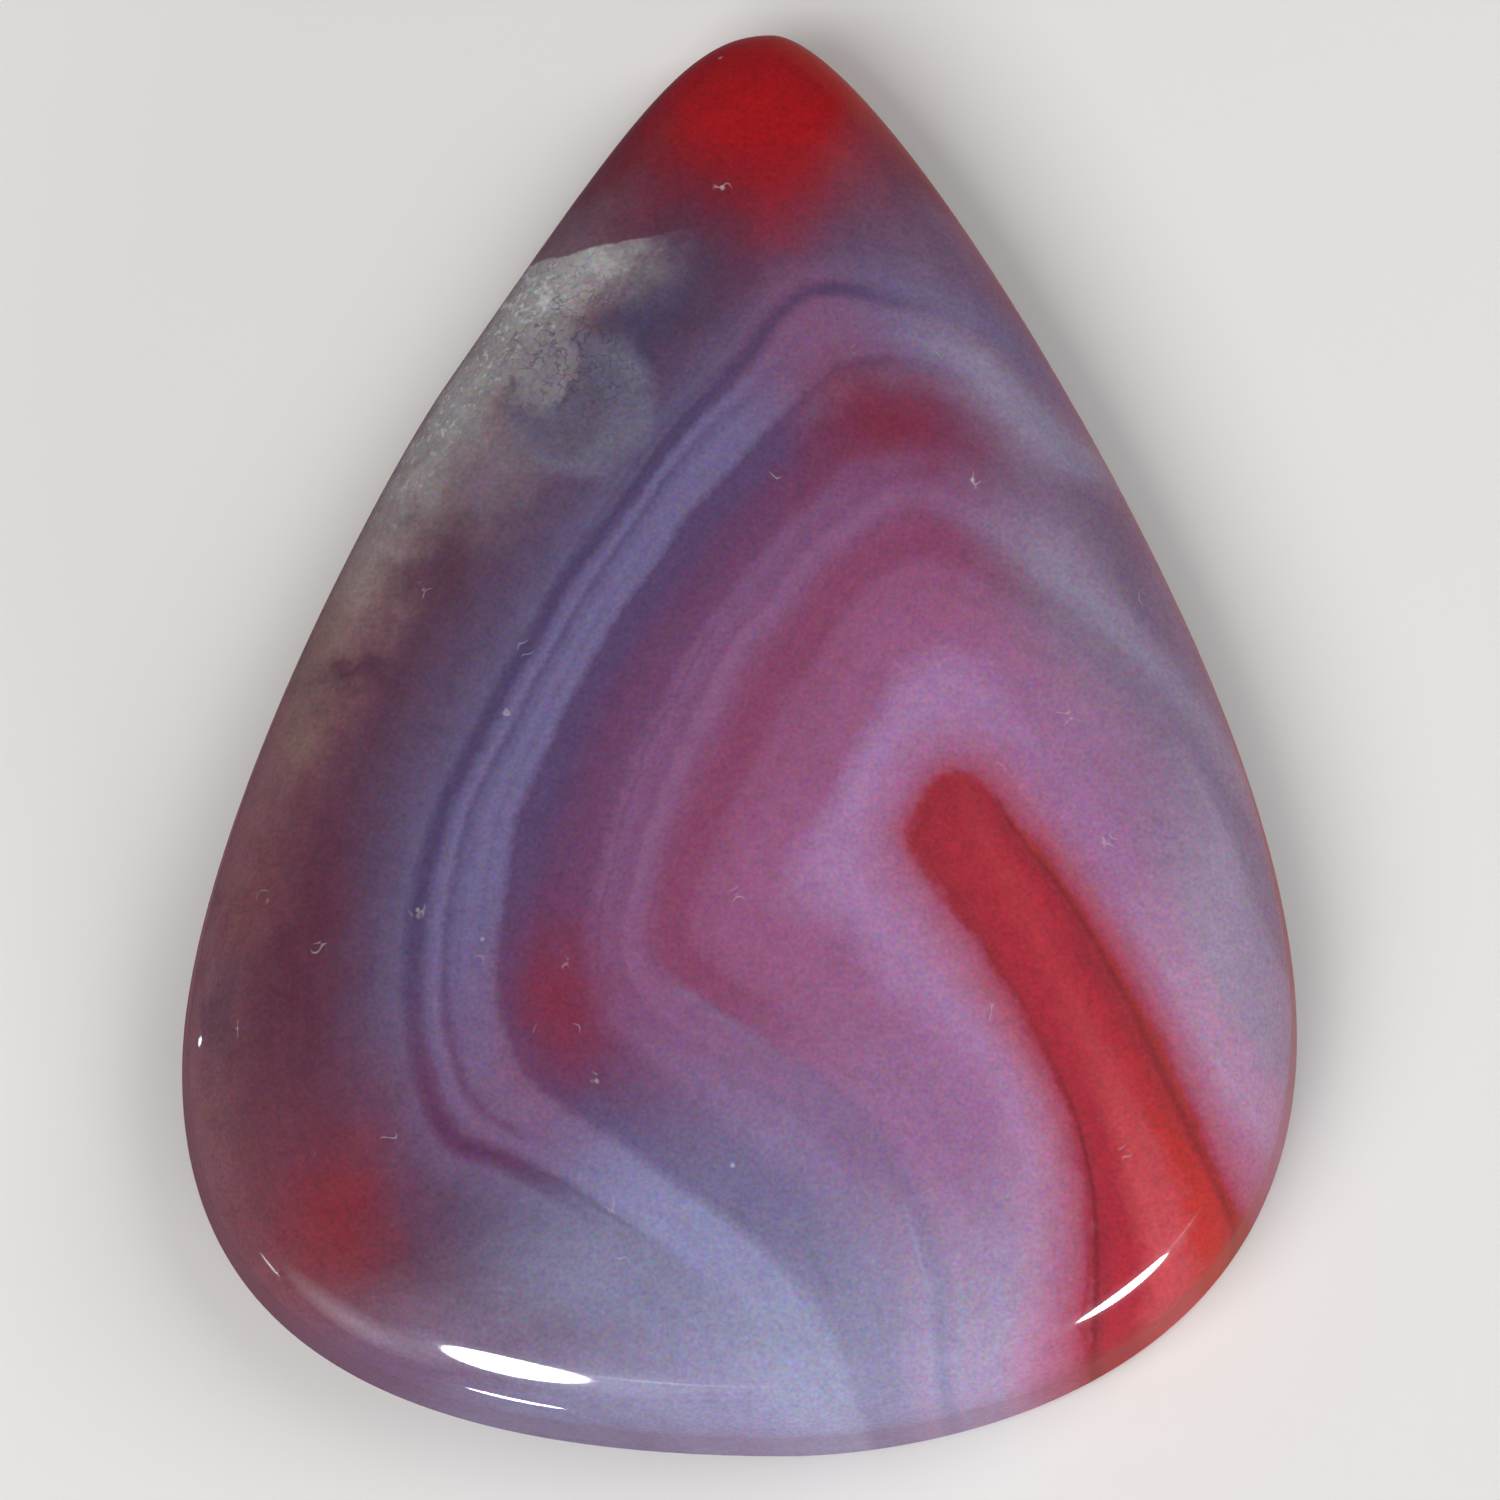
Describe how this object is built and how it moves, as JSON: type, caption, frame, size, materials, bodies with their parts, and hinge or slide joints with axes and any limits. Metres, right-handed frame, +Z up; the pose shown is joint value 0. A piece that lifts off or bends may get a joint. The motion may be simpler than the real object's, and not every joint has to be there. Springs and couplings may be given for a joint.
{
  "type": "botswana agate cabochon",
  "caption": "Flat-backed pear-shaped cabochon of banded agate with a low polished dome, for setting in a bezel or showing loose.",
  "frame": {"origin": "on the flat back, under the middle of the stone's length and width", "axes": "+Z up through the dome, +Y towards the narrow tip, +X to the right of someone looking down at the dome with the tip away"},
  "size_m": [0.0278, 0.036, 0.0052],
  "materials": {
    "agate": "polished"
  },
  "bodies": {
    "root": {"cabochon": "agate"}
  },
  "joints": []
}
